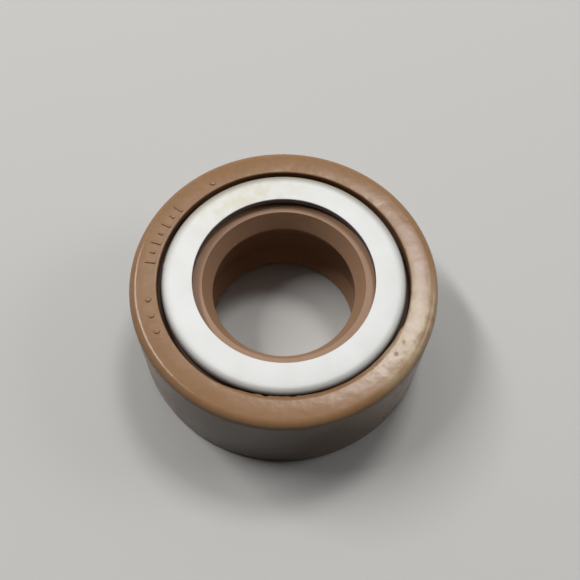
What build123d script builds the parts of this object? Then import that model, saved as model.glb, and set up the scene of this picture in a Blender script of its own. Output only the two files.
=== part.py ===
from build123d import *
from math import cos, radians, sin, tan
import os

# Radial shaft seal: a rubber body moulded round a pressed case, with a main lip held in by a
# garter spring, a dust lip, and a second pressed case that closes the spring's side.
#
# Frame: millimetres. The shaft's axis is +Z and points to the oil side. The origin is the
# middle of the air-side face, on which the seal lies.
#
# Every piece is a ring, so each is a half section, drawn as (radius, height) on the XZ plane
# and turned once round the shaft's axis. A round edge is drawn as a few narrow bands whose
# corners lie on the true arc.

# What the seal is ordered by
SHAFT_DIAMETER = 11.0
HOUSING_DIAMETER = 21.0
SEAL_WIDTH = 8.0

# Outer case: an L of pressed sheet that the rubber is bonded to
OUTER_CASE_SHEET = 1.0
OUTER_CASE_INNER_BEND = 0.3
OUTER_CASE_BEND_BANDS = 2
FLANGE_BORE = 14.6
PRESS_DIAMETER = 16.6  # the inner case is pressed into the outer case on this diameter

# Inner case: a cup of thinner sheet, whose flat face closes the spring's side
INNER_CASE_SHEET = 0.5
INNER_CASE_OUTER_BEND = 0.6
INNER_CASE_BEND_BANDS = 3
INNER_CASE_BORE = 12.4
INNER_CASE_FOOT_CHAMFER = 0.4
INNER_CASE_PROUD = 0.2  # its face stands this much above the rubber rim

# Rubber cover round the outer case
RIM_BORE = 17.2  # it stands clear of the inner case's bend
RIM_COVER = 0.8
HEEL_COVER = 0.6
RIM_EDGE_RADIUS = 0.6
RIM_EDGE_BANDS = 3
HEEL_CHAMFER = 0.3

# Main lip
LIP_INTERFERENCE = 0.55  # how far the unstretched edge stands inside the shaft's surface
LIP_THICKNESS = 0.95  # from the sealing edge to the bottom of the spring groove
SEALING_EDGE_HEIGHT = 5.95
SEALING_BAND = 0.14
AIR_SIDE_ANGLE = 25.0  # degrees from the shaft's axis
LIP_FACE_HEIGHT = 7.2
LIP_FACE_BORE = 11.2

# Garter spring and its groove
SPRING_COIL_DIAMETER = 1.1
SPRING_BANDS = 6
SPRING_OFFSET = 0.4  # the spring's plane is this far on the air side of the sealing edge
GROOVE_RADIUS = 0.6
GROOVE_OPENING = 60.0  # degrees that the groove stays open, each side of straight out
GROOVE_BANDS = 5

# Membrane that lets the lip follow the shaft, and the heel that it grows from
MEMBRANE_BORE = 11.9
MEMBRANE_THICKNESS = 0.7  # at its foot, where it is thinnest
HEEL_LAP = 0.4  # the rubber laps this far onto the flange, round its hole
HEEL_LAP_RISE = 1.0  # and tapers up this far to the membrane
HEEL_BORE = 13.0

# Dust lip
DUST_LIP_INTERFERENCE = 0.25
DUST_LIP_EDGE_HEIGHT = 0.3
DUST_LIP_TIP = 0.1
DUST_LIP_ANGLE = 38.0  # degrees from the shaft's axis
DUST_GROOVE_DIAMETER = 12.3
DUST_GROOVE_DEPTH = 0.75

# Radii and heights that several pieces share
housing_radius = HOUSING_DIAMETER / 2
press_radius = PRESS_DIAMETER / 2
rim_height = SEAL_WIDTH - INNER_CASE_PROUD
flange_top = HEEL_COVER + OUTER_CASE_SHEET
sealing_radius = SHAFT_DIAMETER / 2 - LIP_INTERFERENCE
spring_height = SEALING_EDGE_HEIGHT - SPRING_OFFSET
groove_bottom_radius = sealing_radius + LIP_THICKNESS


def arc_points(centre, radius, start, end, bands):
    """Points along an arc from the start angle to the end angle, in degrees, one per band edge."""
    angles = [radians(start + (end - start) * step / bands) for step in range(bands + 1)]
    return [(centre[0] + radius * cos(angle), centre[1] + radius * sin(angle)) for angle in angles]


# Outer case. The middle of the sheet runs out along the flange, round the bend and up the leg.
with BuildPart() as outer_case:
    with BuildSketch(Plane.XZ) as outer_case_section:
        with BuildLine():
            bend_radius = OUTER_CASE_INNER_BEND + OUTER_CASE_SHEET / 2
            bend_centre = (press_radius - OUTER_CASE_INNER_BEND, flange_top + OUTER_CASE_INNER_BEND)
            Polyline(
                (FLANGE_BORE / 2, bend_centre[1] - bend_radius),
                *arc_points(bend_centre, bend_radius, -90, 0, OUTER_CASE_BEND_BANDS),
                (bend_centre[0] + bend_radius, rim_height - RIM_COVER),
            )
        trace(line_width=OUTER_CASE_SHEET)
    revolve(axis=Axis.Z)

outer_case.part.label = "outer_case"


# Inner case. Its leg is pressed in until it stands on the flange, and a chamfer at its foot
# clears the outer case's bend. The sheet is bent so tight that the inside of its bend is sharp.
with BuildPart() as inner_case:
    with BuildSketch(Plane.XZ):
        with BuildLine():
            cup_bend_centre = (press_radius - INNER_CASE_OUTER_BEND, SEAL_WIDTH - INNER_CASE_OUTER_BEND)
            cup_bore_radius = INNER_CASE_BORE / 2
            face_underside = SEAL_WIDTH - INNER_CASE_SHEET
            leg_inside = press_radius - INNER_CASE_SHEET
            Polyline(
                (cup_bore_radius, SEAL_WIDTH),
                *arc_points(cup_bend_centre, INNER_CASE_OUTER_BEND, 90, 0, INNER_CASE_BEND_BANDS),
                (press_radius, flange_top + INNER_CASE_FOOT_CHAMFER),
                (press_radius - INNER_CASE_FOOT_CHAMFER, flange_top),
                (leg_inside, flange_top),
                (leg_inside, face_underside),
                (cup_bore_radius, face_underside),
                close=True,
            )
        make_face()
    revolve(axis=Axis.Z)

inner_case.part.label = "inner_case"


# Rubber body: cover, heel, membrane and both lips are one moulding. Its section is drawn
# whole, and then the bonded case's section is cut out of it.
with BuildPart() as rubber_body:
    with BuildSketch(Plane.XZ) as rubber_section:
        with BuildLine():
            # Spring groove: it opens outwards by less than its width, so the spring snaps in.
            # Its bands touch the true arc at their middles, which leaves the coil its room.
            half_band = (180 - GROOVE_OPENING) / GROOVE_BANDS
            corner_radius = GROOVE_RADIUS / cos(radians(half_band))
            groove_centre = (groove_bottom_radius + GROOVE_RADIUS, spring_height)
            groove_foot, *groove_wall, groove_top = arc_points(
                groove_centre, corner_radius, 360 - GROOVE_OPENING, GROOVE_OPENING, GROOVE_BANDS
            )
            Polyline(groove_foot, *groove_wall, groove_top)

            # Bead over the spring, face under the inner case, slope to the sealing edge
            edge_foot = (sealing_radius, SEALING_EDGE_HEIGHT - SEALING_BAND / 2)
            Polyline(
                groove_top,
                (groove_top[0], LIP_FACE_HEIGHT),
                (LIP_FACE_BORE / 2, LIP_FACE_HEIGHT),
                (sealing_radius, SEALING_EDGE_HEIGHT + SEALING_BAND / 2),
                edge_foot,
            )

            # Air-side slope, inside of the membrane, top of the dust lip
            membrane_radius = MEMBRANE_BORE / 2
            slope_drop = (membrane_radius - sealing_radius) / tan(radians(AIR_SIDE_ANGLE))
            dust_radius = SHAFT_DIAMETER / 2 - DUST_LIP_INTERFERENCE
            dust_rise = (membrane_radius - dust_radius) / tan(radians(DUST_LIP_ANGLE))
            dust_edge = (dust_radius, DUST_LIP_EDGE_HEIGHT)
            Polyline(
                edge_foot,
                (membrane_radius, edge_foot[1] - slope_drop),
                (membrane_radius, DUST_LIP_EDGE_HEIGHT + dust_rise),
                dust_edge,
            )

            # Underside of the dust lip, groove beside it, face that the seal lies on
            heel_outer_edge = (housing_radius, HEEL_CHAMFER)
            Polyline(
                dust_edge,
                (dust_radius + DUST_LIP_TIP, DUST_LIP_EDGE_HEIGHT - DUST_LIP_TIP),
                (DUST_GROOVE_DIAMETER / 2, DUST_GROOVE_DEPTH),
                (HEEL_BORE / 2, 0),
                (housing_radius - HEEL_CHAMFER, 0),
                heel_outer_edge,
            )

            # Outside wall, rim, and down the gap beside the inner case to the end of the outer case
            rim_edge_centre = (housing_radius - RIM_EDGE_RADIUS, rim_height - RIM_EDGE_RADIUS)
            case_end = (press_radius, rim_height - RIM_COVER)
            Polyline(
                heel_outer_edge,
                *arc_points(rim_edge_centre, RIM_EDGE_RADIUS, 0, 90, RIM_EDGE_BANDS),
                (RIM_BORE / 2, rim_height),
                (RIM_BORE / 2, case_end[1]),
                case_end,
            )

            # Inside of the case, lap onto the flange, outside of the membrane
            membrane_outside = membrane_radius + MEMBRANE_THICKNESS
            Polyline(
                case_end,
                (press_radius, flange_top),
                (FLANGE_BORE / 2 + HEEL_LAP, flange_top),
                (membrane_outside, flange_top + HEEL_LAP_RISE),
                groove_foot,
            )
        make_face()
        add(outer_case_section.sketch_local, mode=Mode.SUBTRACT)
    revolve(axis=Axis.Z)

rubber_body.part.label = "rubber_body"


# Garter spring: wire wound close into a coil and hooked end to end. The coil is drawn as the
# ring that its turns fill, seated in the bottom of the groove.
with BuildPart() as garter_spring:
    with BuildSketch(Plane.XZ):
        coil_radius = SPRING_COIL_DIAMETER / 2
        with Locations((groove_bottom_radius + coil_radius, spring_height)):
            RegularPolygon(coil_radius, SPRING_BANDS)
    revolve(axis=Axis.Z)

garter_spring.part.label = "garter_spring"


os.makedirs("parts", exist_ok=True)
for piece in (outer_case, inner_case, rubber_body, garter_spring):
    export_step(piece.part, f"parts/{piece.part.label}.step")
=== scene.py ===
# %% [markdown]
# # Radial shaft seal
# A radial shaft seal keeps oil in a gearbox where a shaft comes out of it. This one is four rings:
# a brown rubber body, a steel case that is moulded into it, a bright pressed cup that closes its
# oil side, and a garter spring that holds the lip against the shaft.
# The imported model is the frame. It is drawn with a few flat bands for each round edge, so the
# pieces that show are turned again here, with true arcs and the marks of the mould.

from math import acos, atan2, cos, hypot, pi, radians, sin, tan

import bmesh
import bpy
from mathutils import Matrix, Quaternion, Vector, noise


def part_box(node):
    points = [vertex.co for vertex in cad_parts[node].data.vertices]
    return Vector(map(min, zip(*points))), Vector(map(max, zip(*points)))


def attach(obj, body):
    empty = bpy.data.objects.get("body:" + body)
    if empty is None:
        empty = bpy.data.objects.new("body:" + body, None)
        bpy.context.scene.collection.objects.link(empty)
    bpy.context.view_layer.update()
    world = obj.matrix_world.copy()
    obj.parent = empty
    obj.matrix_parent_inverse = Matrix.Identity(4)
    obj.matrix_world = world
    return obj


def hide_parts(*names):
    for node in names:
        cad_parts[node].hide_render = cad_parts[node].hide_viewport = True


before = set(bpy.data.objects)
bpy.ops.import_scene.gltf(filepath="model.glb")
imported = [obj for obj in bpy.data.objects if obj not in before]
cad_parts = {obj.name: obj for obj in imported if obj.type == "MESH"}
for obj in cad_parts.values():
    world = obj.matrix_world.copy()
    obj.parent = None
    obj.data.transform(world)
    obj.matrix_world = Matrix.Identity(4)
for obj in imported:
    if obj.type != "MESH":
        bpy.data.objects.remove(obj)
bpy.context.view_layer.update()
MM = 0.001  # metres in a millimetre

# %% [markdown]
# ## Sizes
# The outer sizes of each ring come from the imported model, in millimetres, so that the turned pieces
# fit it. They could be typed in again, but then they would be wrong as soon as the model changed.
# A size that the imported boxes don't give stands with the piece that needs it.

# %% Sizes
rubber_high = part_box("rubber_body")[1] / MM
cup_low, cup_high = (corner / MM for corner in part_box("inner_case"))
case_low, case_high = (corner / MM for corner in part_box("outer_case"))
spring_low, spring_high = (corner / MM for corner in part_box("garter_spring"))

HOUSING_RADIUS = rubber_high.x
RIM_HEIGHT = rubber_high.z
PRESS_RADIUS = cup_high.x
FACE_HEIGHT = cup_high.z
FLANGE_TOP = cup_low.z
CASE_RADIUS = case_high.x
CASE_TOP = case_high.z
CASE_BOTTOM = case_low.z
SPRING_HEIGHT = (spring_low.z + spring_high.z) / 2
print(f"rim {RIM_HEIGHT:.2f}, cup radius {PRESS_RADIUS:.2f}, flange top {FLANGE_TOP:.2f} mm")

# %% [markdown]
# ## Camera
# The seal lies on a table and is seen from above its near edge, so the picture takes in its top
# face, the lips inside the hole and a strip of the outside wall. A camera could be moved until it
# looks right. Here it is set by what it looks at, how far off and how steeply, and a small roll
# about its own line of sight, because four numbers are easier to correct than a free placing.

# %% Camera
PICTURE_WIDTH_PX = 580
FOCAL_LENGTH_PX = 828.8
CAMERA_TARGET = Vector((0.427, 0, 6.038)) * MM
CAMERA_DISTANCE = 57.57 * MM
CAMERA_ELEVATION = radians(63.36)
CAMERA_ROLL = radians(2.23)
NEAREST_SEEN = 1 * MM
FARTHEST_SEEN = 5  # metres

camera = bpy.data.objects.new("Camera", bpy.data.cameras.new("Camera"))
bpy.context.scene.collection.objects.link(camera)
bpy.context.scene.camera = camera
camera.data.lens = camera.data.sensor_width * FOCAL_LENGTH_PX / PICTURE_WIDTH_PX
camera.data.clip_start = NEAREST_SEEN
camera.data.clip_end = FARTHEST_SEEN
toward_camera = Vector((0, -cos(CAMERA_ELEVATION), sin(CAMERA_ELEVATION)))
camera.location = CAMERA_TARGET + CAMERA_DISTANCE * toward_camera
aim = (-toward_camera).to_track_quat("-Z", "Y")
camera.rotation_mode = "QUATERNION"
camera.rotation_quaternion = aim @ Quaternion((0, 0, 1), CAMERA_ROLL)
print(f"lens {camera.data.lens:.1f} mm, camera at {[round(x / MM, 1) for x in camera.location]} mm")

# %% [markdown]
# ## Colours
# Colours are written as sRGB hex, as a paint chart gives them. Blender mixes light in linear
# numbers, and a hex value used as it stands would come out too pale, so one function turns each
# colour once.


# %% Colours
def linear(hex_colour):
    """sRGB hex, such as "A07454", as a linear colour with alpha."""
    channels = [int(hex_colour[i:i + 2], 16) / 255 for i in (0, 2, 4)]
    curve = [c / 12.92 if c <= 0.04045 else ((c + 0.055) / 1.055) ** 2.4 for c in channels]
    return (*curve, 1.0)


print("middle grey, 808080, is", round(linear("808080")[0], 3), "in linear numbers")

# %% [markdown]
# ## Light
# A very wide softbox hangs above the seal and a little behind it. It gives most of the plain, even
# light, and leaves the wall toward the camera dark. A small key lamp stands where the right side of
# the rim mirrors it, so that side carries a soft sheen. A tall strip on the left draws the fine
# bright line along the rounded edge of the rim, and two weak lamps lift the left of the rim and the
# bends on the right. One large lamp alone would be simpler, but its reflection would cover the
# whole rim and wash the brown out. The world adds a trace of plain grey from all round.

# %% Lamps
LAMP_DISTANCE = 400 * MM


def add_lamp(name, direction, width, length, watts, along=(0, 0, 1)):
    """A rectangular lamp that shines back at the seal. Its length lies along a direction."""
    data = bpy.data.lights.new(name, "AREA")
    data.shape = "RECTANGLE"
    data.size = width
    data.size_y = length
    data.energy = watts
    lamp = bpy.data.objects.new(name, data)
    bpy.context.scene.collection.objects.link(lamp)
    backward = Vector(direction).normalized()
    sideways = Vector(along).cross(backward).normalized()
    upward = backward.cross(sideways)
    lamp.matrix_world = Matrix((sideways, upward, backward)).transposed().to_4x4()
    lamp.location = backward * LAMP_DISTANCE
    print(f"{name}: {watts} W, {width / MM:.0f} x {length / MM:.0f} mm")


# Each lamp's name, the direction in which it stands, its width, its length and its watts
add_lamp("Wide_softbox", (-0.05, 0.52, 0.85), 800 * MM, 600 * MM, 0.52)
add_lamp("Key_lamp", (0.155, 0.415, 0.897), 88 * MM, 88 * MM, 0.51)
add_lamp("Left_strip", (-0.515, 0.275, 0.81), 36 * MM, 220 * MM, 0.84, along=(0.26, -0.87, 0.42))
add_lamp("Top_left_lamp", (-0.17, 0.46, 0.87), 60 * MM, 60 * MM, 0.055)
add_lamp("Right_lamp", (0.8, 0.2, 0.56), 150 * MM, 150 * MM, 0.3)

# %% Fill
FILL_COLOUR = "FFFFFF"
FILL_STRENGTH = 0.035

world = bpy.data.worlds.new("Studio_fill")
bpy.context.scene.world = world
world.use_nodes = True
background = world.node_tree.nodes["Background"]
background.inputs["Color"].default_value = linear(FILL_COLOUR)
background.inputs["Strength"].default_value = FILL_STRENGTH
bpy.context.scene.view_settings.view_transform = "Standard"
print("fill from all round:", FILL_STRENGTH)

# %% [markdown]
# ## Helpers for materials
# Every finish is a small tree of nodes. One function adds a node, sets its own properties and
# fills its inputs with values or with links. Most of what lies on the seal lies there only between
# certain radii or heights, or near a certain place. Painting that by hand would slip off when a
# shape changes. So a second function builds a mask from measures: each step eases a measure into a
# share from 0 to 1, and the steps are multiplied with each other.

# %% Material helpers
MIX_FACTOR, MIX_A, MIX_B, MIX_RESULT = 0, 6, 7, 2  # the sockets of a Mix node that mixes colours


def add_node(tree, kind, inputs=None, **settings):
    """Adds a shader node. Settings are its properties, inputs its sockets by name or number."""
    node = tree.nodes.new(kind)
    for name, value in settings.items():
        setattr(node, name, value)
    for socket, value in (inputs or {}).items():
        if isinstance(value, bpy.types.NodeSocket):
            tree.links.new(value, node.inputs[socket])
        else:
            node.inputs[socket].default_value = value
    return node


def new_material(name):
    """A material with its tree, its Principled shader and object coordinates in millimetres."""
    material = bpy.data.materials.new(name)
    material.use_nodes = True
    tree = material.node_tree
    shader = tree.nodes["Principled BSDF"]
    place = add_node(tree, "ShaderNodeTexCoord").outputs["Object"]
    scaled = add_node(tree, "ShaderNodeVectorMath", {0: place, "Scale": 1 / MM}, operation="SCALE")
    print("material:", name)
    return material, tree, shader, scaled.outputs["Vector"]


def add_radius(tree, place):
    """Distance from the shaft's axis and height, in millimetres."""
    parts = add_node(tree, "ShaderNodeSeparateXYZ", {0: place})
    flat = add_node(tree, "ShaderNodeVectorMath", {0: place, 1: (1, 1, 0)}, operation="MULTIPLY")
    length = add_node(tree, "ShaderNodeVectorMath", {0: flat.outputs["Vector"]}, operation="LENGTH")
    return length.outputs["Value"], parts.outputs["Z"]


def add_mask(tree, *steps):
    """A share made of steps. Each is a measure, its start and end, and the shares given there."""
    mask = 1.0
    for measure, start, end, start_share, end_share in steps:
        step = add_node(
            tree, "ShaderNodeMapRange",
            {"Value": measure, "From Min": start, "From Max": end,
             "To Min": start_share, "To Max": end_share},
            interpolation_type="SMOOTHSTEP",
        )
        product = add_node(
            tree, "ShaderNodeMath", {0: step.outputs["Result"], 1: mask}, operation="MULTIPLY",
        )
        mask = product.outputs["Value"]
    return mask


# %% [markdown]
# ## Painted shade in the gap
# The narrow gap between the cup and the rim is painted dark brown on both walls below the edge,
# darkest
# deep down: painted shade where the walls of the gap stand in shadow. Rubber and both steels need the
# same painted shade, so one function finds it from the place alone: how far out a point is, and how
# deep. It ends above the heel, or it would come out again on the underside.

# %% Painted shade in the gap
# Painted shade: dark brown on both walls of the gap, darkest deep down
GAP_SHADE = "4E3423"
GAP_SHADE_INSIDE_MM = (8.12, 8.26)
GAP_SHADE_OUTSIDE_MM = (8.45, 8.75)
GAP_SHADE_DEPTH_MM = (7.3, 7.8)
GAP_SHADE_SHARES = (0.95, 0.4)  # deep in the gap, and at its edge
GAP_FOOT_MM = (2.0, 3.0)


def add_gap_shade(tree, radius, height, colour):
    """Paints shade onto a colour on both walls of the gap. Gives the colour and how much is painted.
    """
    gap_shade = add_mask(
        tree,
        (radius, *GAP_SHADE_INSIDE_MM, 0.0, 1.0),
        (radius, *GAP_SHADE_OUTSIDE_MM, 1.0, 0.0),
        (height, *GAP_SHADE_DEPTH_MM, *GAP_SHADE_SHARES),
        (height, *GAP_FOOT_MM, 0.0, 1.0),
    )
    mixed = add_node(
        tree, "ShaderNodeMix",
        {MIX_FACTOR: gap_shade, MIX_A: colour, MIX_B: linear(GAP_SHADE)}, data_type="RGBA",
    )
    return mixed.outputs[MIX_RESULT], gap_shade


# the printed span is that of the painted shade in the gap
print("gap dirt lies between radius", GAP_SHADE_INSIDE_MM[0], "and", GAP_SHADE_OUTSIDE_MM[1], "mm")

# %% [markdown]
# ## Brown rubber: tone
# The body is fluorocarbon rubber, moulded under heat. To the eye that is a warm brown, a little
# uneven because the compound is never mixed perfectly. The finish could be one long tree. Here it
# is built in layers, and each layer is a short function that takes a colour and lays one thing over
# it, so that each can be changed alone.

# %% Rubber tone
RUBBER_BROWN = "8A6746"
RUBBER_TAN = "937050"
TONE_PATCH_MM = 5.56
MOTTLE_MM = 0.45
MOTTLE_CONTRAST = (0.3, 0.7)
MOTTLE_STRENGTH = 0.05


def add_rubber_tone(tree, place):
    """Brown and tan in broad patches, with a fine mottle in their brightness."""
    patches = add_node(
        tree, "ShaderNodeTexNoise", {"Vector": place, "Scale": 1 / TONE_PATCH_MM, "Detail": 3.0},
    )
    tone = add_node(
        tree, "ShaderNodeMix",
        {MIX_FACTOR: patches.outputs["Fac"],
         MIX_A: linear(RUBBER_BROWN), MIX_B: linear(RUBBER_TAN)},
        data_type="RGBA",
    )
    mottle = add_node(
        tree, "ShaderNodeTexNoise", {"Vector": place, "Scale": 1 / MOTTLE_MM, "Detail": 4.0},
    )
    brightness = add_node(
        tree, "ShaderNodeMapRange",
        {"Value": mottle.outputs["Fac"],
         "From Min": MOTTLE_CONTRAST[0], "From Max": MOTTLE_CONTRAST[1],
         "To Min": 1 - MOTTLE_STRENGTH, "To Max": 1 + MOTTLE_STRENGTH},
    )
    mottled = add_node(
        tree, "ShaderNodeVectorMath",
        {0: tone.outputs[MIX_RESULT], "Scale": brightness.outputs["Result"]}, operation="SCALE",
    )
    return mottled.outputs["Vector"]


print(f"rubber tone: patches of {TONE_PATCH_MM} mm, mottle of {MOTTLE_MM} mm")

# %% [markdown]
# ## Brown rubber: painted sheen and trimmed lip
# On the right of the rim, near its top only, cream is painted in patches as a painted sheen where the
# highlight falls. Round the lip the rubber is trimmed with a knife, so it is matt, and it is painted
# paler as painted light on the dim lip and its slope. One even coat would look like paint, so noise
# decides how strong the painted sheen is from place to place.

# %% Painted sheen and trimmed lip
# Painted sheen: cream painted on the right of the rim, where the highlight falls
CREAM_SHEEN_COLOUR = "DCD3B4"
CREAM_SHEEN_MIDDLE_MM = (8.6, -3.6, 7.8)
CREAM_SHEEN_REACH_MM = (1.5, 6.5)
CREAM_SHEEN_HEIGHT_MM = (7.1, 7.6)
CREAM_SHEEN_PATCH_MM = 1.11
CREAM_SHEEN_CONTRAST = (0.3, 0.7)
CREAM_SHEEN_SHARES = (0.08, 0.34)
# Painted light: the rubber round the lip is painted paler, lifting the dim lip and its slope
PAINTED_LIP_LIGHT_COLOUR = "A5826A"
TRIMMED_MM = (6.8, 7.2)
TRIMMED_SHARE = 0.6


def add_cream_sheen(tree, place, height, colour):
    """Paints a patchy cream sheen on the right of the rim, where the highlight falls."""
    away = add_node(
        tree, "ShaderNodeVectorMath", {0: place, 1: CREAM_SHEEN_MIDDLE_MM}, operation="DISTANCE",
    )
    patches = add_node(
        tree, "ShaderNodeTexNoise", {"Vector": place, "Scale": 1 / CREAM_SHEEN_PATCH_MM, "Detail": 3.0},
    )
    painted_light = add_mask(
        tree,
        (away.outputs["Value"], *CREAM_SHEEN_REACH_MM, 1.0, 0.0),
        (patches.outputs["Fac"], *CREAM_SHEEN_CONTRAST, *CREAM_SHEEN_SHARES),
        (height, *CREAM_SHEEN_HEIGHT_MM, 0.0, 1.0),
    )
    mixed = add_node(
        tree, "ShaderNodeMix",
        {MIX_FACTOR: painted_light, MIX_A: colour, MIX_B: linear(CREAM_SHEEN_COLOUR)}, data_type="RGBA",
    )
    return mixed.outputs[MIX_RESULT]


def add_trimmed_lip_and_painted_light(tree, radius, colour):
    """Paints the rubber round the lip paler as painted light. Gives the colour and how much is
    trimmed.
    """
    trimmed = add_mask(tree, (radius, *TRIMMED_MM, TRIMMED_SHARE, 0.0))
    mixed = add_node(
        tree, "ShaderNodeMix",
        {MIX_FACTOR: trimmed, MIX_A: colour, MIX_B: linear(PAINTED_LIP_LIGHT_COLOUR)}, data_type="RGBA",
    )
    return mixed.outputs[MIX_RESULT], trimmed


print("trimmed rubber lies inside radius", TRIMMED_MM[1], "mm")

# %% [markdown]
# ## Brown rubber: stains
# A few small stains lie on the rim beside the painted cream sheen. They could be painted in a picture
# that is wrapped round the rim. A ball round each one's middle does as well, with an edge that noise
# makes ragged, and it stays sharp however near the camera comes.

# %% Stains
STAINS = [  # radius and angle on the rim, then the stain's own radius, strength and colour
    (9.10, 325.0, 0.22, 0.50, "7A4E42"),
    (9.10, 331.4, 0.20, 0.40, "7C6A4C"),
    (9.72, 333.6, 0.16, 0.30, "8A7052"),
    (9.55, 318.5, 0.50, 0.28, "8C7048"),
]
STAIN_RAGGED_MM = 0.25
STAIN_FADE = (0.7, 1.6)  # where a stain starts to fade and where it ends, in its own radii


def add_stains(tree, place, colour, dulled):
    """Lays each stain over a colour. Gives the colour and how much of the rubber is dulled."""
    ragged = add_node(
        tree, "ShaderNodeTexNoise", {"Vector": place, "Scale": 1 / STAIN_RAGGED_MM, "Detail": 2.0},
    )
    for out, angle, size, strength, stain_colour in STAINS:
        middle = (out * cos(radians(angle)), out * sin(radians(angle)), RIM_HEIGHT)
        away = add_node(tree, "ShaderNodeVectorMath", {0: place, 1: middle}, operation="DISTANCE")
        edge = add_node(
            tree, "ShaderNodeMath",
            {0: ragged.outputs["Fac"], 1: size, 2: away.outputs["Value"]}, operation="MULTIPLY_ADD",
        )
        fade_start, fade_end = (size * share for share in STAIN_FADE)
        stain = add_mask(tree, (edge.outputs["Value"], fade_start, fade_end, strength, 0.0))
        colour = add_node(
            tree, "ShaderNodeMix",
            {MIX_FACTOR: stain, MIX_A: colour, MIX_B: linear(stain_colour)}, data_type="RGBA",
        ).outputs[MIX_RESULT]
        dulled = add_node(
            tree, "ShaderNodeMath", {0: dulled, 1: stain}, operation="MAXIMUM",
        ).outputs["Value"]
    return colour, dulled


print("rubber:", len(STAINS), "stains")

# %% [markdown]
# ## Brown rubber: dust
# Lint and dust stick all over, because rubber is a little tacky. Grains could be scattered as
# small pieces of their own, but they are too flat to show as shapes. A Voronoi pattern cuts space
# into cells, each with a random colour. The few cells whose colour passes a limit get one speck.

# %% Dust
DUST_COLOUR = "BFB09B"
DUST_SPACING_MM = 1.2
DUST_RADIUS_MM = 0.06
DUST_FREE_SHARE = 0.82


def add_chosen_cells(tree, place, spacing, free_share):
    """Random cells. Gives the distance from a cell's middle, in cells, and 1 in the chosen ones."""
    cells = add_node(tree, "ShaderNodeTexVoronoi", {"Vector": place, "Scale": 1 / spacing})
    draw = add_node(tree, "ShaderNodeSeparateColor", {0: cells.outputs["Color"]})
    chosen = add_node(
        tree, "ShaderNodeMath", {0: draw.outputs["Red"], 1: free_share}, operation="GREATER_THAN",
    )
    return cells.outputs["Distance"], chosen.outputs["Value"]


def add_dust(tree, place, colour):
    """Puts a pale speck in a few cells of a fine random pattern."""
    away, chosen = add_chosen_cells(tree, place, DUST_SPACING_MM, DUST_FREE_SHARE)
    near = add_node(
        tree, "ShaderNodeMath", {0: away, 1: DUST_RADIUS_MM / DUST_SPACING_MM},
        operation="LESS_THAN",
    )
    dust = add_node(
        tree, "ShaderNodeMath", {0: near.outputs["Value"], 1: chosen}, operation="MULTIPLY",
    )
    mixed = add_node(
        tree, "ShaderNodeMix",
        {MIX_FACTOR: dust.outputs["Value"], MIX_A: colour, MIX_B: linear(DUST_COLOUR)},
        data_type="RGBA",
    )
    return mixed.outputs[MIX_RESULT]


print(f"dust: a speck of {2 * DUST_RADIUS_MM:.2f} mm in {1 - DUST_FREE_SHARE:.0%} of the cells")

# %% [markdown]
# ## Brown rubber: surface
# The mould was polished, so the rubber is satin: a soft highlight which breaks into patches,
# because the moulded face waves by a few hundredths of a millimetre and a bloom comes and goes on
# it. Trimmed and stained rubber is duller. Modelling the waves would cost many faces and show no
# more, so a bump turns the light instead. A fluorocarbon bends light less than other rubbers do, so
# its index is low and the brown stays deep beside the highlight.

# %% Rubber surface
BLOOM_PATCH_MM = 2.2
BLOOM_CONTRAST = (0.35, 0.65)
BLOOM_ROUGHNESS = (0.2, 0.26)
DULLING = 0.4
MOULD_WAVE_MM = 1.2
MOULD_WAVE_HEIGHT_MM = 0.03
RUBBER_GRAIN_MM = 0.14  # the real grain is a few hundredths of a millimetre, too fine to show
RUBBER_GRAIN_HEIGHT_MM = 0.02
RUBBER_GRAIN_STRENGTH = 0.15
FLUOROCARBON_IOR = 1.37


def add_rubber_gloss(tree, place, dulled):
    """Roughness: a patchy bloom, and more where the rubber is dulled."""
    bloom = add_node(
        tree, "ShaderNodeTexNoise", {"Vector": place, "Scale": 1 / BLOOM_PATCH_MM, "Detail": 4.0},
    )
    satin = add_node(
        tree, "ShaderNodeMapRange",
        {"Value": bloom.outputs["Fac"],
         "From Min": BLOOM_CONTRAST[0], "From Max": BLOOM_CONTRAST[1],
         "To Min": BLOOM_ROUGHNESS[0], "To Max": BLOOM_ROUGHNESS[1]},
    )
    roughness = add_node(
        tree, "ShaderNodeMath", {0: dulled, 1: DULLING, 2: satin.outputs["Result"]},
        operation="MULTIPLY_ADD",
    )
    return roughness.outputs["Value"]


def add_rubber_relief(tree, place):
    """Normals: the mould's slow waves with the rubber's grain on them."""
    wave = add_node(
        tree, "ShaderNodeTexNoise", {"Vector": place, "Scale": 1 / MOULD_WAVE_MM, "Detail": 2.0},
    )
    waved = add_node(
        tree, "ShaderNodeBump",
        {"Height": wave.outputs["Fac"], "Strength": 1.0, "Distance": MOULD_WAVE_HEIGHT_MM * MM},
    )
    grain = add_node(
        tree, "ShaderNodeTexNoise", {"Vector": place, "Scale": 1 / RUBBER_GRAIN_MM, "Detail": 2.0},
    )
    grained = add_node(
        tree, "ShaderNodeBump",
        {"Height": grain.outputs["Fac"], "Strength": RUBBER_GRAIN_STRENGTH,
         "Distance": RUBBER_GRAIN_HEIGHT_MM * MM, "Normal": waved.outputs["Normal"]},
    )
    return grained.outputs["Normal"]


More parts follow.
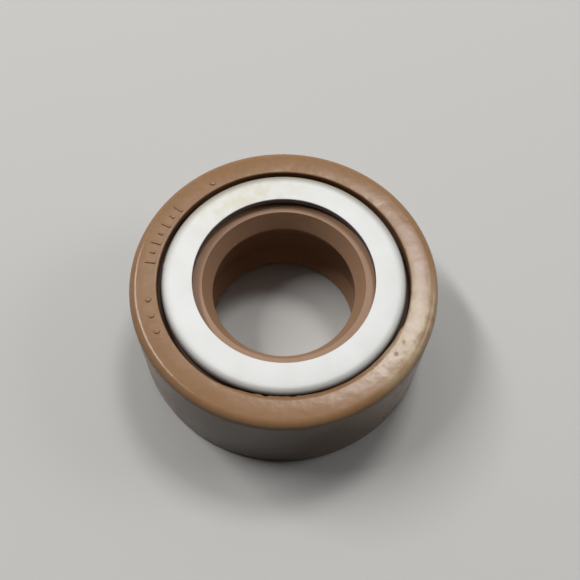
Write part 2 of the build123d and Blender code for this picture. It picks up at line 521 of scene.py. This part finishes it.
def rubber_material():
    """Moulded brown rubber, from its tone up to the painted shade in the gap."""
    material, tree, shader, place = new_material("Moulded_brown_rubber")
    radius, height = add_radius(tree, place)
    colour = add_rubber_tone(tree, place)
    # painted cream sheen on the right of the rim
    colour = add_cream_sheen(tree, place, height, colour)
    # painted light on the lip; the same share makes the trimmed rubber matt
    colour, trimmed = add_trimmed_lip_and_painted_light(tree, radius, colour)
    colour, dulled = add_stains(tree, place, colour, trimmed)
    colour = add_dust(tree, place, colour)
    # painted shade in the gap between rim and cup
    colour, _ = add_gap_shade(tree, radius, height, colour)
    tree.links.new(colour, shader.inputs["Base Color"])
    tree.links.new(add_rubber_gloss(tree, place, dulled), shader.inputs["Roughness"])
    tree.links.new(add_rubber_relief(tree, place), shader.inputs["Normal"])
    shader.inputs["IOR"].default_value = FLUOROCARBON_IOR
    return material


brown_rubber = rubber_material()
print("rubber:", len(brown_rubber.node_tree.nodes), "nodes")

# %% [markdown]
# ## Bright sheet steel: plating
# The cup is pressed from thin steel sheet and zinc plated. The plating is matte, so the flat face
# returns the light above it as one even, nearly white sheen, and turns dark only where its bend
# faces away. It is slightly cloudy, fingers have left a cream smudge on it, and a few grey specks
# lie on it. Each is a layer, as on the rubber.

# %% Plating
ZINC_DULL = "D4D4D2"
ZINC_BRIGHT = "DFDFDE"
ZINC_CLOUD_MM = 2.0
SMUDGE_COLOUR = "CFCBB8"
SMUDGE_MIDDLE_MM = (-3.2, 6.8, 8.0)
SMUDGE_REACH_MM = (1.0, 6.5)
SMUDGE_STREAK_MM = 0.909
SMUDGE_CONTRAST = (0.4, 0.65)
SMUDGE_SHARES = (0.15, 0.65)


def add_zinc_tone(tree, place):
    """Nearly white zinc with slow clouds."""
    cloud = add_node(
        tree, "ShaderNodeTexNoise", {"Vector": place, "Scale": 1 / ZINC_CLOUD_MM, "Detail": 3.0},
    )
    mixed = add_node(
        tree, "ShaderNodeMix",
        {MIX_FACTOR: cloud.outputs["Fac"], MIX_A: linear(ZINC_DULL), MIX_B: linear(ZINC_BRIGHT)},
        data_type="RGBA",
    )
    return mixed.outputs[MIX_RESULT]


def add_smudge(tree, place, colour):
    """Lays a streaky cream smudge round one place on the flat face."""
    away = add_node(
        tree, "ShaderNodeVectorMath", {0: place, 1: SMUDGE_MIDDLE_MM}, operation="DISTANCE",
    )
    streaks = add_node(
        tree, "ShaderNodeTexNoise",
        {"Vector": place, "Scale": 1 / SMUDGE_STREAK_MM, "Detail": 5.0, "Roughness": 0.6},
    )
    smudge = add_mask(
        tree,
        (away.outputs["Value"], *SMUDGE_REACH_MM, 1.0, 0.0),
        (streaks.outputs["Fac"], *SMUDGE_CONTRAST, *SMUDGE_SHARES),
    )
    mixed = add_node(
        tree, "ShaderNodeMix",
        {MIX_FACTOR: smudge, MIX_A: colour, MIX_B: linear(SMUDGE_COLOUR)}, data_type="RGBA",
    )
    return mixed.outputs[MIX_RESULT]


print(f"zinc: clouds of {ZINC_CLOUD_MM} mm, one smudge round {SMUDGE_MIDDLE_MM} mm")

# %% Specks
SPECK_COLOUR = "9A9890"
SPECK_SPACING_MM = 1.3
SPECK_RADIUS_MM = 0.07
SPECK_FADE = (0.5, 1.5)  # where a speck starts to fade and where it ends, in its own radii
SPECK_STRENGTH = 0.6
SPECK_FREE_SHARE = 0.7


def add_specks(tree, place, colour):
    """Puts a soft grey speck in some cells of a random pattern."""
    away, chosen = add_chosen_cells(tree, place, SPECK_SPACING_MM, SPECK_FREE_SHARE)
    fade_start, fade_end = (share * SPECK_RADIUS_MM / SPECK_SPACING_MM for share in SPECK_FADE)
    dot = add_mask(tree, (away, fade_start, fade_end, SPECK_STRENGTH, 0.0))
    speck = add_node(tree, "ShaderNodeMath", {0: dot, 1: chosen}, operation="MULTIPLY")
    mixed = add_node(
        tree, "ShaderNodeMix",
        {MIX_FACTOR: speck.outputs["Value"], MIX_A: colour, MIX_B: linear(SPECK_COLOUR)},
        data_type="RGBA",
    )
    return mixed.outputs[MIX_RESULT]


print(f"specks: one of {2 * SPECK_RADIUS_MM:.2f} mm in {1 - SPECK_FREE_SHARE:.0%} of the cells")

# %% [markdown]
# ## Bright sheet steel: painted bend shade and cut edge
# A brownish colour is painted over the cup's bend, most of it at the back: painted shade where the
# bend turns away from the light. The hole's edge is bare grey steel, because it was cut after the
# sheet was plated. Where painted shade lies on the bend and in the gap, the surface is less metallic,
# so the eye sees the painted brown.

# %% Painted bend shade and cut edge
# Painted shade: brownish colour on the cup's bend, strongest at the back
BEND_SHADE_COLOUR = "8D8272"
BEND_SHADE_MM = (7.55, 8.12)
BEND_SHADE_SHARE = 0.85
BEND_SHADE_MIDDLE_MM = (0.0, 8.0, 8.0)
BEND_SHADE_REACH_MM = (4.0, 13.0)
BEND_SHADE_FRONT_SHARE = 0.2
CUT_EDGE_COLOUR = "77747A"
CUT_EDGE_MM = (6.22, 6.28)
CUT_EDGE_HEIGHT_MM = (7.9, 7.97)


def add_bend_shade(tree, place, radius, colour):
    """Paints brownish shade over the cup's bend. Gives the colour and how much is painted."""
    away = add_node(
        tree, "ShaderNodeVectorMath", {0: place, 1: BEND_SHADE_MIDDLE_MM}, operation="DISTANCE",
    )
    painted_light = add_mask(
        tree,
        (radius, *BEND_SHADE_MM, 0.0, BEND_SHADE_SHARE),
        (away.outputs["Value"], *BEND_SHADE_REACH_MM, 1.0, BEND_SHADE_FRONT_SHARE),
    )
    mixed = add_node(
        tree, "ShaderNodeMix",
        {MIX_FACTOR: painted_light, MIX_A: colour, MIX_B: linear(BEND_SHADE_COLOUR)}, data_type="RGBA",
    )
    return mixed.outputs[MIX_RESULT], painted_light


def add_cut_edge(tree, radius, height, colour):
    """Shows bare steel on the wall of the cup's hole."""
    cut = add_mask(
        tree, (radius, *CUT_EDGE_MM, 1.0, 0.0), (height, *CUT_EDGE_HEIGHT_MM, 1.0, 0.0),
    )
    mixed = add_node(
        tree, "ShaderNodeMix",
        {MIX_FACTOR: cut, MIX_A: colour, MIX_B: linear(CUT_EDGE_COLOUR)}, data_type="RGBA",
    )
    return mixed.outputs[MIX_RESULT]


print("bare steel shows inside radius", CUT_EDGE_MM[1], "mm")

# %% Plated steel material
ZINC_ROUGHNESS = 0.75


def plated_steel_material():
    """Matte zinc plating on pressed sheet, from its tone up to the painted shade in the gap."""
    material, tree, shader, place = new_material("Zinc_plated_sheet_steel")
    radius, height = add_radius(tree, place)
    colour = add_zinc_tone(tree, place)
    colour = add_smudge(tree, place, colour)
    colour = add_specks(tree, place, colour)
    # painted shade on the cup's bend
    colour, painted_light = add_bend_shade(tree, place, radius, colour)
    colour = add_cut_edge(tree, radius, height, colour)
    # painted shade in the gap, which also takes the metal away
    colour, gap_shade = add_gap_shade(tree, radius, height, colour)
    tree.links.new(colour, shader.inputs["Base Color"])
    # the metal is taken away where shade is painted on the bend and in the gap
    painted_shade = add_node(tree, "ShaderNodeMath", {0: painted_light, 1: gap_shade}, operation="MAXIMUM")
    bare = add_node(
        tree, "ShaderNodeMath", {0: 1.0, 1: painted_shade.outputs["Value"]}, operation="SUBTRACT",
    )
    tree.links.new(bare.outputs["Value"], shader.inputs["Metallic"])
    shader.inputs["Roughness"].default_value = ZINC_ROUGHNESS
    return material


plated_steel = plated_steel_material()
print("plated steel:", len(plated_steel.node_tree.nodes), "nodes")

# %% [markdown]
# ## Phosphated case steel
# The outer case is phosphated so that the rubber bonds to it. To the eye that is a dull dark grey
# with a fine crystal grain, and only the case's end shows, at the bottom of the gap. Plain grey
# would do there, but the grain costs little and keeps the piece true when it is seen alone.

# %% Phosphated steel
PHOSPHATE_DARK = "35332F"
PHOSPHATE_LIGHT = "454340"
PHOSPHATE_ROUGHNESS = 0.7
CRYSTAL_MM = 0.15  # real crystals are a few hundredths of a millimetre, too fine to show


def phosphated_steel_material():
    """A crystalline phosphate coat, with the painted shade of the gap on it."""
    material, tree, shader, place = new_material("Phosphated_steel")
    radius, height = add_radius(tree, place)
    crystals = add_node(tree, "ShaderNodeTexVoronoi", {"Vector": place, "Scale": 1 / CRYSTAL_MM})
    draw = add_node(tree, "ShaderNodeSeparateColor", {0: crystals.outputs["Color"]})
    coat = add_node(
        tree, "ShaderNodeMix",
        {MIX_FACTOR: draw.outputs["Red"],
         MIX_A: linear(PHOSPHATE_DARK), MIX_B: linear(PHOSPHATE_LIGHT)},
        data_type="RGBA",
    )
    # painted shade at the bottom of the gap, which also takes the metal away
    colour, gap_shade = add_gap_shade(tree, radius, height, coat.outputs[MIX_RESULT])
    tree.links.new(colour, shader.inputs["Base Color"])
    bare = add_node(tree, "ShaderNodeMath", {0: 1.0, 1: gap_shade}, operation="SUBTRACT")
    tree.links.new(bare.outputs["Value"], shader.inputs["Metallic"])
    shader.inputs["Roughness"].default_value = PHOSPHATE_ROUGHNESS
    return material


phosphated_steel = phosphated_steel_material()
print("phosphated steel:", len(phosphated_steel.node_tree.nodes), "nodes")

# %% [markdown]
# ## Drawn spring wire
# The garter spring is wound from drawn wire, which the die leaves smooth, so to the eye it is
# lighter and shinier than the pressed sheet. It carries a patchy film of oil. The film could be a
# coat over the metal. Here it only darkens and dulls the metal in patches, because it is thin.

# %% Spring wire
WIRE_GREY = "B0AFAB"
WIRE_OILED = "8F8A7C"
OIL_PATCH_MM = 1.5
OIL_CONTRAST = (0.35, 0.65)
WIRE_ROUGHNESS = (0.3, 0.45)


def spring_wire_material():
    """Drawn wire under patches of oil."""
    material, tree, shader, place = new_material("Drawn_spring_wire")
    shader.inputs["Metallic"].default_value = 1.0
    oil = add_node(
        tree, "ShaderNodeTexNoise", {"Vector": place, "Scale": 1 / OIL_PATCH_MM, "Detail": 3.0},
    )
    colour = add_node(
        tree, "ShaderNodeMix",
        {MIX_FACTOR: oil.outputs["Fac"], MIX_A: linear(WIRE_GREY), MIX_B: linear(WIRE_OILED)},
        data_type="RGBA",
    )
    tree.links.new(colour.outputs[MIX_RESULT], shader.inputs["Base Color"])
    roughness = add_node(
        tree, "ShaderNodeMapRange",
        {"Value": oil.outputs["Fac"],
         "From Min": OIL_CONTRAST[0], "From Max": OIL_CONTRAST[1],
         "To Min": WIRE_ROUGHNESS[0], "To Max": WIRE_ROUGHNESS[1]},
        interpolation_type="SMOOTHSTEP",
    )
    tree.links.new(roughness.outputs["Result"], shader.inputs["Roughness"])
    return material


spring_wire = spring_wire_material()
print("spring wire:", len(spring_wire.node_tree.nodes), "nodes")

# %% [markdown]
# ## Turning a ring
# Every piece is the same all round, so each starts as half of its section: a flat face in the
# plane y = 0 with one vertex at each corner. Bevelling a corner's vertex rounds it. The face is
# then thrown away, its outline is spun once round the shaft's axis, and the normals are set.

# %% Turning helpers
ROUNDING_SEGMENTS = 6
RING_STEPS = 360


def round_corner(section, vertex, radius):
    """Rounds one corner of a flat section. The cut starts where an arc of that radius would."""
    sides = [(edge.other_vert(vertex).co - vertex.co).normalized() for edge in vertex.link_edges]
    half_angle = acos(max(-1.0, min(1.0, sides[0].dot(sides[1])))) / 2
    bmesh.ops.bevel(
        section, geom=[vertex], offset=radius / tan(half_angle), offset_type="OFFSET",
        segments=ROUNDING_SEGMENTS, profile=0.5, affect="VERTICES", material=-1,
    )


def turn_section(corners):
    """Spins a section round +Z. Each corner is (radius, height, rounding), in millimetres."""
    ring = bmesh.new()
    vertices = [ring.verts.new((radius * MM, 0, height * MM)) for radius, height, _ in corners]
    ring.faces.new(vertices)
    for vertex, (_, _, rounding) in zip(vertices, corners):
        if rounding:
            round_corner(ring, vertex, rounding * MM)
    bmesh.ops.delete(ring, geom=list(ring.faces), context="FACES_ONLY")
    bmesh.ops.spin(
        ring, geom=[*ring.verts, *ring.edges], cent=(0, 0, 0), axis=(0, 0, 1),
        angle=2 * pi, steps=RING_STEPS, use_merge=True,
    )
    bmesh.ops.recalc_face_normals(ring, faces=ring.faces)
    print("section of", len(corners), "corners turned in", RING_STEPS, "steps")
    return ring


# %% [markdown]
# ## Finishing a piece
# A finished mesh becomes a piece of the seal. It is shaded smooth, apart from edges that are
# really sharp, and each face's normal is weighted by its size, so that a flat face stays flat to
# the light right up to its rounded edge. More rounding segments would do the same, at the cost of
# many faces.

# %% Finishing helper
SHARP_ANGLE = radians(40)


def finish_piece(name, mesh, material, node=None):
    """Turns a bmesh into a named piece of the seal that rides with it."""
    data = bpy.data.meshes.new(name)
    mesh.to_mesh(data)
    mesh.free()
    data.shade_smooth()
    data.set_sharp_from_angle(angle=SHARP_ANGLE)
    data.materials.append(material)
    piece = bpy.data.objects.new(name, data)
    bpy.context.scene.collection.objects.link(piece)
    weighted = piece.modifiers.new("Weighted_normals", "WEIGHTED_NORMAL")
    weighted.keep_sharp = True
    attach(piece, "root")
    if node:
        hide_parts(node)
    triangles = sum(len(face.vertices) - 2 for face in data.polygons)
    print(f"{name}: {triangles} triangles")


# %% [markdown]
# ## Rubber body: lips
# Cover, heel, membrane and both lips are one moulding, so they are one section. It is written in
# two parts, because it is long. This is the part that works: the groove that holds the spring, the
# main lip, and the dust lip under it. The lip's face and its slope meet in a sharp edge, because
# the lip is trimmed with a knife. The rest is rounded as its mould was.

# %% Lips
SEALING_RADIUS = 4.95
SEALING_HEIGHT = 5.95
SEALING_BAND = 0.14
SEALING_ROUNDING = 0.04
LIP_FACE_HEIGHT = 7.2
LIP_FACE_RADIUS = 5.6
LIP_BACK_RADIUS = 6.83
LIP_BACK_ROUNDING = 0.15
GROOVE_BOTTOM_RADIUS = 5.9
GROOVE_HALF_HEIGHT = 0.66
GROOVE_ROUNDING = 0.56
GROOVE_MOUTH_HALF_HEIGHT = 0.52
GROOVE_MOUTH_ROUNDING = 0.05
AIR_SIDE_SLOPE = radians(25)
MEMBRANE_INSIDE = 5.95
MEMBRANE_TOP_ROUNDING = 0.6
MEMBRANE_FOOT_ROUNDING = 0.3
DUST_LIP_RADIUS = 5.25
DUST_LIP_HEIGHT = 0.3
DUST_LIP_SLOPE = radians(38)
DUST_LIP_ROUNDING = 0.03


def lip_corners():
    """From the spring groove over the main lip to the dust lip's edge."""
    slope_drop = (MEMBRANE_INSIDE - SEALING_RADIUS) / tan(AIR_SIDE_SLOPE)
    dust_rise = (MEMBRANE_INSIDE - DUST_LIP_RADIUS) / tan(DUST_LIP_SLOPE)
    edge_top = SEALING_HEIGHT + SEALING_BAND / 2
    edge_foot = SEALING_HEIGHT - SEALING_BAND / 2
    return [
        (LIP_BACK_RADIUS, SPRING_HEIGHT - GROOVE_MOUTH_HALF_HEIGHT, GROOVE_MOUTH_ROUNDING),
        (GROOVE_BOTTOM_RADIUS, SPRING_HEIGHT - GROOVE_HALF_HEIGHT, GROOVE_ROUNDING),
        (GROOVE_BOTTOM_RADIUS, SPRING_HEIGHT + GROOVE_HALF_HEIGHT, GROOVE_ROUNDING),
        (LIP_BACK_RADIUS, SPRING_HEIGHT + GROOVE_MOUTH_HALF_HEIGHT, GROOVE_MOUTH_ROUNDING),
        (LIP_BACK_RADIUS, LIP_FACE_HEIGHT, LIP_BACK_ROUNDING),
        (LIP_FACE_RADIUS, LIP_FACE_HEIGHT, 0),
        (SEALING_RADIUS, edge_top, SEALING_ROUNDING),
        (SEALING_RADIUS, edge_foot, SEALING_ROUNDING),
        (MEMBRANE_INSIDE, edge_foot - slope_drop, MEMBRANE_TOP_ROUNDING),
        (MEMBRANE_INSIDE, DUST_LIP_HEIGHT + dust_rise, MEMBRANE_FOOT_ROUNDING),
        (DUST_LIP_RADIUS, DUST_LIP_HEIGHT, DUST_LIP_ROUNDING),
    ]


print("lips:", len(lip_corners()), "corners, main lip", 2 * SEALING_RADIUS, "mm across")

# %% [markdown]
# ## Rubber body: cover
# The other part of the section runs from the dust lip round the heel, the wall and the rim, down
# the gap beside the cup, and back round the case that is moulded in. Where it follows the steel it
# repeats the steel's own sizes, because rubber that is moulded onto a case takes its shape.

# %% Cover
DUST_LIP_TIP = 0.1
DUST_GROOVE_RADIUS = 6.15
DUST_GROOVE_DEPTH = 0.75
DUST_GROOVE_ROUNDING = 0.15
HEEL_BORE = 6.5
HEEL_CHAMFER = 0.3
HEEL_ROUNDING = 0.1
RIM_EDGE_RADIUS = 0.6
RIM_BORE_RADIUS = 8.6
RIM_INNER_ROUNDING = 0.1
FLASH_THICKNESS = 0.2
CASE_OUTER_BEND = 1.3
FLANGE_BORE = 7.3
HEEL_LAP = 0.4
HEEL_LAP_RISE = 1.0
MEMBRANE_OUTSIDE = 6.65
MEMBRANE_ROOT_ROUNDING = 0.5


def cover_corners():
    """From the dust lip's underside round the heel, the wall and the rim to the membrane."""
    return [
        (DUST_LIP_RADIUS + DUST_LIP_TIP, DUST_LIP_HEIGHT - DUST_LIP_TIP, DUST_LIP_ROUNDING),
        (DUST_GROOVE_RADIUS, DUST_GROOVE_DEPTH, DUST_GROOVE_ROUNDING),
        (HEEL_BORE, 0, HEEL_ROUNDING),
        (HOUSING_RADIUS - HEEL_CHAMFER, 0, HEEL_ROUNDING),
        (HOUSING_RADIUS, HEEL_CHAMFER, HEEL_ROUNDING),
        (HOUSING_RADIUS, RIM_HEIGHT, RIM_EDGE_RADIUS),
        (RIM_BORE_RADIUS, RIM_HEIGHT, RIM_INNER_ROUNDING),
        (RIM_BORE_RADIUS, RIM_HEIGHT - FLASH_THICKNESS, 0),
        (RIM_BORE_RADIUS, CASE_TOP, 0),
        (CASE_RADIUS, CASE_TOP, 0),
        (CASE_RADIUS, CASE_BOTTOM, CASE_OUTER_BEND),
        (FLANGE_BORE, CASE_BOTTOM, 0),
        (FLANGE_BORE, FLANGE_TOP, 0),
        (FLANGE_BORE + HEEL_LAP, FLANGE_TOP, 0),
        (MEMBRANE_OUTSIDE, FLANGE_TOP + HEEL_LAP_RISE, MEMBRANE_ROOT_ROUNDING),
    ]


print("cover:", len(cover_corners()), "corners")

# %% [markdown]
# ## Flash
# Where the mould's core wore, a thin skin of rubber slopes in from the rim, over the gap beside
# the cup. It starts on the right with a short slanting step, widens toward the front and is ragged
# there. The rim's inner edge is moved vertex by vertex, because a ring that is the same all round
# can't show that.

# %% Flash
FLASH_START = radians(236)
FLASH_FULL = radians(262)
FLASH_CLOSES = radians(318)
FLASH_STEP_START = radians(335.5)
FLASH_STEP_END = radians(339)
FLASH_STEP_SHARE = 0.5
FLASH_DEPTH = 0.2
TORN_MIDDLE = radians(270)
TORN_HALF_WIDTH = radians(18)
RAGGED_LENGTH = radians(3.1)
RAGGED_NOISE_PLACE = (0.3, 0.7)  # which line through the noise is read
RAGGED_SHARES = (0.1, 1.0)  # how ragged the flash is away from the torn part, and in its middle
CLOSE = 0.01  # mm, for telling vertices apart by their place


def part_way(value, start, end):
    """How far a value has come from start to end, from 0 to 1, eased at both ends."""
    share = max(0.0, min(1.0, (value - start) / (end - start)))
    return share * share * (3 - 2 * share)


def flash_depth(angle):
    """How far the flash stands in from the rim at an angle about the shaft, in millimetres."""
    rise = part_way(angle, FLASH_START, FLASH_FULL)
    step = 1 - part_way(angle, FLASH_STEP_START, FLASH_STEP_END)
    closing = 1 - part_way(angle, FLASH_CLOSES, FLASH_STEP_START)
    share = step * (FLASH_STEP_SHARE + (1 - FLASH_STEP_SHARE) * closing)
    torn = max(0.0, 1 - abs(angle - TORN_MIDDLE) / TORN_HALF_WIDTH)
    even, most = RAGGED_SHARES
    ragged = noise.noise(Vector((angle / RAGGED_LENGTH, *RAGGED_NOISE_PLACE)))
    return FLASH_DEPTH * rise * share * (1 + ragged * (even + (most - even) * torn))


def add_flash(ring):
    """Draws the rim's inner edge inwards where the mould left a skin of rubber."""
    reach = RIM_BORE_RADIUS + 1.5 * RIM_INNER_ROUNDING
    foot = RIM_HEIGHT - FLASH_THICKNESS + CLOSE
    for vertex in ring.verts:
        radius = hypot(vertex.co.x, vertex.co.y) / MM
        height = vertex.co.z / MM
        if radius < reach and height > foot:
            depth = flash_depth(atan2(vertex.co.y, vertex.co.x) % (2 * pi))
            depth *= min(1.0, (RIM_HEIGHT - height) / RIM_INNER_ROUNDING)
            inward = 1 - depth / radius
            vertex.co.x *= inward
            vertex.co.y *= inward


rubber_ring = turn_section(lip_corners() + cover_corners())
add_flash(rubber_ring)
finish_piece("rubber_moulding", rubber_ring, brown_rubber, "rubber_body")

# %% [markdown]
# ## Raised marks
# The mould's face is engraved, so the rim carries small raised marks. Here they are plain ones: a
# row of long and short ticks that point at the shaft, three round pips, and one more. A tick is a
# cube and a pip a short cone. Both get soft edges, because a mould is cut with a round tool. They
# could be cut into the rim's own mesh, but laid on it and sunk a little they look the same and
# leave the ring clean.

# %% Raised marks
MARK_HEIGHT = 0.08
MARK_SINK = 0.04
MARK_RADIUS = 9.2
TICK_WIDTH = 0.18
TICK_LENGTHS = (0.7, 0.36)
TICK_ANGLES = (146, 150.8, 155.6, 160.4, 165.2, 170, 174.8)
PIP_RADIUS = 0.24
PIP_TOP_SHARE = 0.8  # a pip's top is this much as wide as its foot
PIP_ANGLES = (126, 192.5, 200, 207.5)
MARK_ROUNDING = 0.03


def place_on_rim(angle, lengthwise, crosswise):
    """Where a mark of unit size goes on the rim, and how far it is scaled."""
    whole = MARK_HEIGHT + MARK_SINK
    size = Matrix.Diagonal((lengthwise * MM, crosswise * MM, whole * MM, 1))
    lift = RIM_HEIGHT + MARK_HEIGHT - whole / 2
    out = Matrix.Translation((MARK_RADIUS * MM, 0, lift * MM))
    return Matrix.Rotation(radians(angle), 4, "Z") @ out @ size


def raised_marks():
    """All ticks and pips in one mesh."""
    marks = bmesh.new()
    for index, angle in enumerate(TICK_ANGLES):
        length = TICK_LENGTHS[index % len(TICK_LENGTHS)]
        bmesh.ops.create_cube(marks, size=1, matrix=place_on_rim(angle, length, TICK_WIDTH))
    for angle in PIP_ANGLES:
        bmesh.ops.create_cone(
            marks, cap_ends=True, segments=24, radius1=PIP_RADIUS,
            radius2=PIP_RADIUS * PIP_TOP_SHARE, depth=1, matrix=place_on_rim(angle, 1, 1),
        )
    top = (RIM_HEIGHT + MARK_HEIGHT) * MM
    upper = [
        edge for edge in marks.edges
        if all(abs(vertex.co.z - top) < CLOSE * MM for vertex in edge.verts)
    ]
    bmesh.ops.bevel(
        marks, geom=upper, offset=MARK_ROUNDING * MM, segments=3, profile=0.5, affect="EDGES",
        material=-1,
    )
    return marks


finish_piece("raised_marks", raised_marks(), brown_rubber)

# %% [markdown]
# ## Pressed cup
# A cup of thin sheet with a wide hole in its bottom, set upside down into the seal. Its bend is
# what the eye sees of its thickness, so it is turned with a true arc. A sheet could be given its
# thickness by a modifier, but a section is simpler to measure. A knock has raised a small burr on
# it at the left.

# %% Pressed cup
CUP_SHEET = 0.5
CUP_BEND = 0.48
CUP_FOOT_ROUNDING = 0.35
CUP_INNER_ROUNDING = 0.1
CUP_BORE = 6.2
CUP_BORE_ROUNDINGS = (0.04, 0.03)  # at the face, and on its underside


def cup_corners():
    """The cup's half section, from the hole over the bend and down the leg and back."""
    upper_rounding, lower_rounding = CUP_BORE_ROUNDINGS
    return [
        (CUP_BORE, FACE_HEIGHT, upper_rounding),
        (PRESS_RADIUS, FACE_HEIGHT, CUP_BEND),
        (PRESS_RADIUS, FLANGE_TOP, CUP_FOOT_ROUNDING),
        (PRESS_RADIUS - CUP_SHEET, FLANGE_TOP, 0),
        (PRESS_RADIUS - CUP_SHEET, FACE_HEIGHT - CUP_SHEET, CUP_INNER_ROUNDING),
        (CUP_BORE, FACE_HEIGHT - CUP_SHEET, lower_rounding),
    ]


cup_ring = turn_section(cup_corners())

# %% Burr
BURR_ANGLE = radians(175.6)
BURR_HALF_WIDTH = radians(1.2)
BURR_HEIGHT = 7.72
BURR_HALF_HEIGHT = 0.25
BURR_PUSH = 0.07
BURR_REACH = 0.3


def add_burr(ring):
    """Pushes out a small burr on the cup's outer bend, where it was once knocked."""
    for vertex in ring.verts:
        radius = hypot(vertex.co.x, vertex.co.y) / MM
        beside = abs(atan2(vertex.co.y, vertex.co.x) - BURR_ANGLE) / BURR_HALF_WIDTH
        below = abs(vertex.co.z / MM - BURR_HEIGHT) / BURR_HALF_HEIGHT
        if radius > PRESS_RADIUS - BURR_REACH and beside < 1 and below < 1:
            push = 1 + BURR_PUSH * (1 - beside) * (1 - below) / radius
            vertex.co.x *= push
            vertex.co.y *= push


add_burr(cup_ring)
finish_piece("pressed_cup", cup_ring, plated_steel, "inner_case")

# %% [markdown]
# ## Bonded case
# The case is moulded into the rubber, and only a thin ring of its end can be seen. It could be
# turned again like the cup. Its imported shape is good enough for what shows, so it stays as it is
# and only takes the phosphated finish.

# %% Bonded case
outer_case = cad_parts["outer_case"]
outer_case.data.materials.clear()
outer_case.data.materials.append(phosphated_steel)
print("outer_case:", [slot.material.name for slot in outer_case.material_slots])

# %% [markdown]
# ## Garter spring
# The spring is a close-wound coil bent into a ring, and it lies hidden in the lip's groove. The
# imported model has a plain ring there. A curve with a round section follows the wire here. A turned
# ring with a bump would do for a spring that nobody sees, but then a cut through the seal would not
# look like one.

# %% Garter spring
COIL_RADIUS = 0.55
SPRING_RADIUS = spring_high.x - COIL_RADIUS
COIL_TURNS = 180
STEPS_PER_TURN = 14
WIRE_RADIUS = 0.1


def garter_coil():
    """A close-wound coil bent into a ring, as a curve with a round section."""
    curve = bpy.data.curves.new("garter_coil", "CURVE")
    curve.dimensions = "3D"
    curve.bevel_depth = WIRE_RADIUS * MM
    curve.bevel_resolution = 1
    spline = curve.splines.new("POLY")
    count = COIL_TURNS * STEPS_PER_TURN
    spline.points.add(count - 1)
    winding = COIL_RADIUS - WIRE_RADIUS
    for index, point in enumerate(spline.points):
        round_shaft = 2 * pi * index / count
        round_wire = 2 * pi * index / STEPS_PER_TURN
        radius = (SPRING_RADIUS + winding * cos(round_wire)) * MM
        height = (SPRING_HEIGHT + winding * sin(round_wire)) * MM
        point.co = (radius * cos(round_shaft), radius * sin(round_shaft), height, 1)
    spline.use_cyclic_u = True
    holder = bpy.data.objects.new("garter_coil_curve", curve)
    mesh = bmesh.new()
    mesh.from_mesh(bpy.data.meshes.new_from_object(holder))
    bpy.data.objects.remove(holder)
    return mesh


finish_piece("garter_coil", garter_coil(), spring_wire, "garter_spring")

# %% [markdown]
# ## Table: finish
# A plain matt table carries the seal and its shadow. The camera and reflections see it pale, and
# the light that it throws back at the seal comes from a darker grey, so that the wall toward the
# camera and the inside of the hole stay dark. A pale table that also lit the seal would lift both.
# The lamps stand close and light only the middle of the table. So the far part and the backdrop
# that rises from its edge glow by themselves, for the camera and reflections alone, and the
# background stays pale from a low angle too.

# %% Table finish
TABLE_PALE = "C2C1BE"
TABLE_BOUNCE = "1E1D1C"
TABLE_FAR = "BDBCB9"
TABLE_FAR_MM = (80, 380)
TABLE_ROUGHNESS = 0.9
BLACK = "000000"


def add_seen(tree):
    """1 for rays from the camera, from a reflection and through glass, and 0 for all others."""
    ray = add_node(tree, "ShaderNodeLightPath")
    seen = ray.outputs["Is Camera Ray"]
    for other in ("Is Glossy Ray", "Is Transmission Ray"):
        seen = add_node(
            tree, "ShaderNodeMath", {0: seen, 1: ray.outputs[other]}, operation="MAXIMUM",
        ).outputs["Value"]
    return seen


def table_material():
    """Matt grey that is pale to the eye and dark as a source of light."""
    material, tree, shader, place = new_material("Matte_table")
    seen = add_seen(tree)
    near_colour = add_node(
        tree, "ShaderNodeMix",
        {MIX_FACTOR: seen, MIX_A: linear(TABLE_BOUNCE), MIX_B: linear(TABLE_PALE)},
        data_type="RGBA",
    )
    away = add_node(tree, "ShaderNodeVectorMath", {0: place}, operation="LENGTH")
    far = add_mask(tree, (away.outputs["Value"], *TABLE_FAR_MM, 0.0, 1.0))
    lit_colour = add_node(
        tree, "ShaderNodeMix",
        {MIX_FACTOR: far, MIX_A: near_colour.outputs[MIX_RESULT], MIX_B: linear(BLACK)},
        data_type="RGBA",
    )
    tree.links.new(lit_colour.outputs[MIX_RESULT], shader.inputs["Base Color"])
    glow = add_node(tree, "ShaderNodeMath", {0: far, 1: seen}, operation="MULTIPLY")
    tree.links.new(glow.outputs["Value"], shader.inputs["Emission Strength"])
    shader.inputs["Emission Color"].default_value = linear(TABLE_FAR)
    shader.inputs["Roughness"].default_value = TABLE_ROUGHNESS
    return material


matte_table = table_material()
print("table finish:", len(matte_table.node_tree.nodes), "nodes")

# %% [markdown]
# ## Table: shape
# In a studio a sheet of paper is bent up behind the work, which serves one side only. Here the
# table is a wide disc with an open band standing on its edge, and it stays pale from every side.

# %% Table
TABLE_RADIUS = 1.0  # metres
BACKDROP_HEIGHT = 0.5  # metres
TABLE_SEGMENTS = 64

table_mesh = bmesh.new()
bmesh.ops.create_circle(table_mesh, cap_ends=True, segments=TABLE_SEGMENTS, radius=TABLE_RADIUS)
bmesh.ops.create_cone(
    table_mesh, cap_ends=False, segments=TABLE_SEGMENTS, radius1=TABLE_RADIUS,
    radius2=TABLE_RADIUS, depth=BACKDROP_HEIGHT,
    matrix=Matrix.Translation((0, 0, BACKDROP_HEIGHT / 2)),
)
table_data = bpy.data.meshes.new("Floor")
table_mesh.to_mesh(table_data)
table_mesh.free()
table_data.materials.append(matte_table)
floor = bpy.data.objects.new("Floor", table_data)
bpy.context.scene.collection.objects.link(floor)
print(f"table: {2 * TABLE_RADIUS:.0f} m across")
